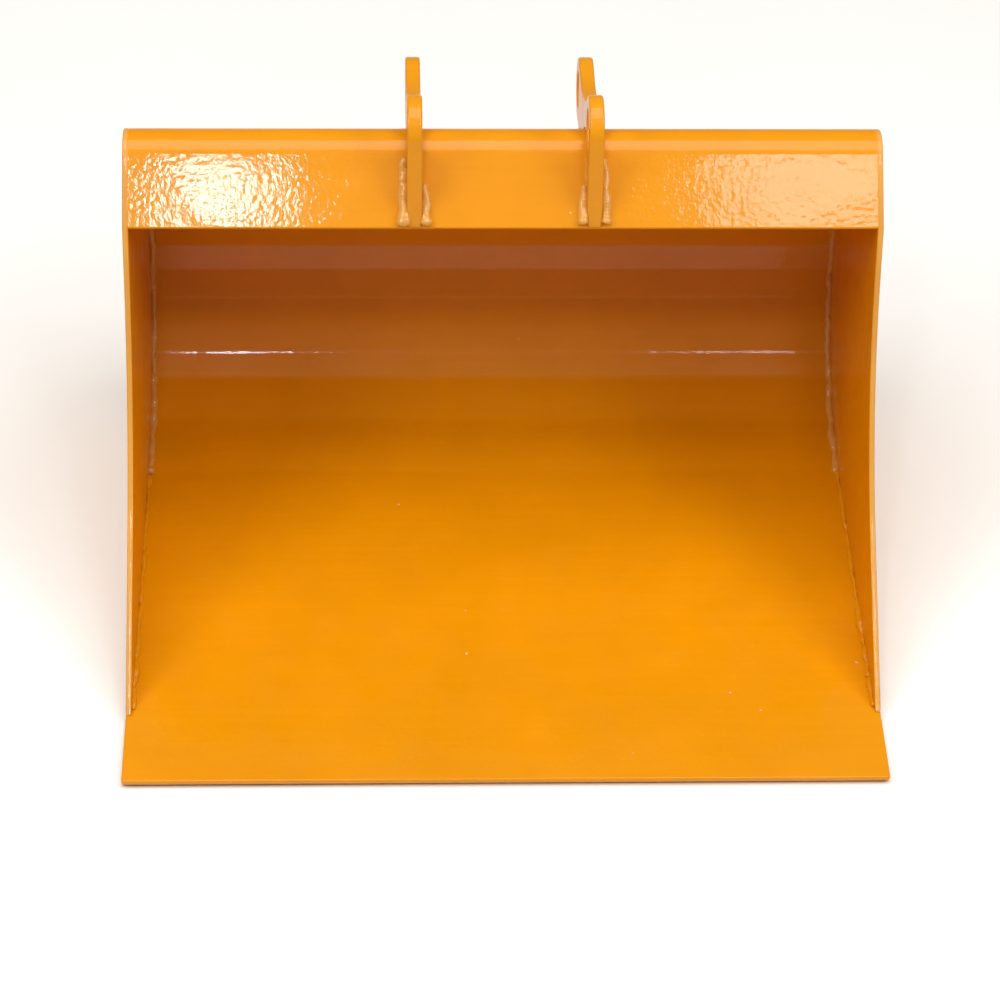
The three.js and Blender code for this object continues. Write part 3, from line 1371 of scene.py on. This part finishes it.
class BUCKET_OT_stage(bpy.types.Operator):
    """Lay the floor and set the lights and the camera"""

    bl_idname = "bucket.stage"
    bl_label = "Stage"

    def execute(self, context):
        stage = context.scene.bucket_stage
        deselect_all()
        bpy.ops.mesh.primitive_plane_add(
            size=STUDIO_FLOOR_SIZE, location=(0, 0, STUDIO_FLOOR_Z)
        )
        floor = context.object
        floor.name = "studio_floor"
        bpy.ops.object.transform_apply(location=True, rotation=True, scale=True)
        floor.data.materials.append(floor_finish())

        world = bpy.data.worlds.new("studio")
        context.scene.world = world
        world.use_nodes = True
        paint_sky(world.node_tree, stage)
        context.scene.view_settings.view_transform = "Standard"

        soft_light(
            "overhead",
            place=(0, 0.15, 2.5),
            aim=(0, 0.15, 0),
            size=(2.6, 1.6),
            power=stage.key_power,
        )
        for word, side in SIDES:
            soft_light(
                f"bank_{word}",
                place=(side * 1.85, -0.8, 1.95),
                aim=(0, 0, 0.1),
                size=(1.2, 1.0),
                power=stage.bank_power,
            )
        soft_light(
            "low_panel",
            place=(-0.4, -3.2, 1.25),
            aim=(0, 0.17, 0.07),
            size=(4.2, 0.46),
            power=stage.panel_power,
            tint=(1, 0.74, 0.3),
        )
        soft_light(
            "window",
            place=(-0.29, -1.27, 2.0),
            aim=(-0.178, 0.06, 0.27),
            size=(0.13, 0.13),
            power=stage.window_power,
        )
        soft_light(
            "side_window",
            place=(0.5, -1.26, 2.03),
            aim=(0.2, 0.06, 0.27),
            size=(0.28, 0.17),
            power=0.75 * stage.window_power,
        )

        bpy.ops.object.camera_add()
        camera = context.object
        camera.name = "studio_camera"
        camera.matrix_world = (
            Matrix.Translation(Vector(stage.camera_place))
            @ Matrix.Rotation(-stage.camera_yaw, 4, "Z")
            @ Matrix.Rotation(math.pi / 2 - stage.camera_pitch, 4, "X")
            @ Matrix.Rotation(stage.camera_roll, 4, "Z")
        )
        camera.data.lens = stage.lens
        camera.data.sensor_width = 36
        context.scene.camera = camera
        return {"FINISHED"}


def paint_sky(tree, stage):
    """Even dim light all round and a pale backdrop."""
    background = tree.nodes["Background"]
    seen = new_node(tree, "ShaderNodeLightPath").outputs["Is Camera Ray"]
    strength = ramp(tree, seen, 0, 1, stage.sky, stage.backdrop)
    tree.links.new(strength, background.inputs["Strength"])
    tint = blend_colour(tree, seen, (1, 0.9, 0.7), (1, 1, 1))
    tree.links.new(tint, background.inputs["Color"])


def floor_finish():
    """Pale matt studio floor."""
    material = bpy.data.materials.new("studio_floor_paper")
    material.use_nodes = True
    tree = material.node_tree
    shader = tree.nodes["Principled BSDF"]
    place = new_node(tree, "ShaderNodeTexCoord").outputs["Object"]
    grain = ramp(tree, noise(tree, place, scale=4, detail=3), 0.3, 0.7)
    colour = blend_colour(tree, grain, (0.87, 0.87, 0.865), (0.89, 0.89, 0.885))
    tree.links.new(colour, shader.inputs["Base Color"])
    shader.inputs["Roughness"].default_value = 0.75
    return material


# ---------------------------------------------------------------- panel and registration


OPERATORS = (
    BUCKET_OT_wrapper,
    BUCKET_OT_cutting_edge,
    BUCKET_OT_side_plates,
    BUCKET_OT_ears,
    BUCKET_OT_corner_welds,
    BUCKET_OT_foot_welds,
    BUCKET_OT_seam_weld,
    BUCKET_OT_ear_welds,
    BUCKET_OT_stage,
)

SETTINGS = {
    "bucket_shell": BucketShellSettings,
    "bucket_ear": BucketEarSettings,
    "bucket_weld": BucketWeldSettings,
    "bucket_paint": BucketPaintSettings,
    "bucket_stage": BucketStageSettings,
}


class BUCKET_PT_panel(bpy.types.Panel):
    """Pieces of the bucket and their settings"""

    bl_idname = "BUCKET_PT_panel"
    bl_label = "Ditching Bucket"
    bl_space_type = "VIEW_3D"
    bl_region_type = "UI"
    bl_category = "Bucket"

    def draw(self, context):
        for operator in OPERATORS:
            self.layout.operator(operator.bl_idname)
        for name, group in SETTINGS.items():
            box = self.layout.box()
            for setting in group.__annotations__:
                box.prop(getattr(context.scene, name), setting)


CLASSES = (*SETTINGS.values(), *OPERATORS, BUCKET_PT_panel)


def register():
    """Register the classes and hang the settings on the scene."""
    for made in CLASSES:
        bpy.utils.register_class(made)
    for name, group in SETTINGS.items():
        setattr(bpy.types.Scene, name, PointerProperty(type=group))


def unregister():
    """Take the settings and the classes away again."""
    for name in SETTINGS:
        delattr(bpy.types.Scene, name)
    for made in reversed(CLASSES):
        bpy.utils.unregister_class(made)


def main():
    """Build every piece in order."""
    register()
    bpy.ops.bucket.wrapper()
    bpy.ops.bucket.cutting_edge()
    bpy.ops.bucket.side_plates()
    bpy.ops.bucket.ears()
    bpy.ops.bucket.corner_welds()
    bpy.ops.bucket.foot_welds()
    bpy.ops.bucket.seam_weld()
    bpy.ops.bucket.ear_welds()
    bpy.ops.bucket.stage()


if __name__ == "__main__":
    main()
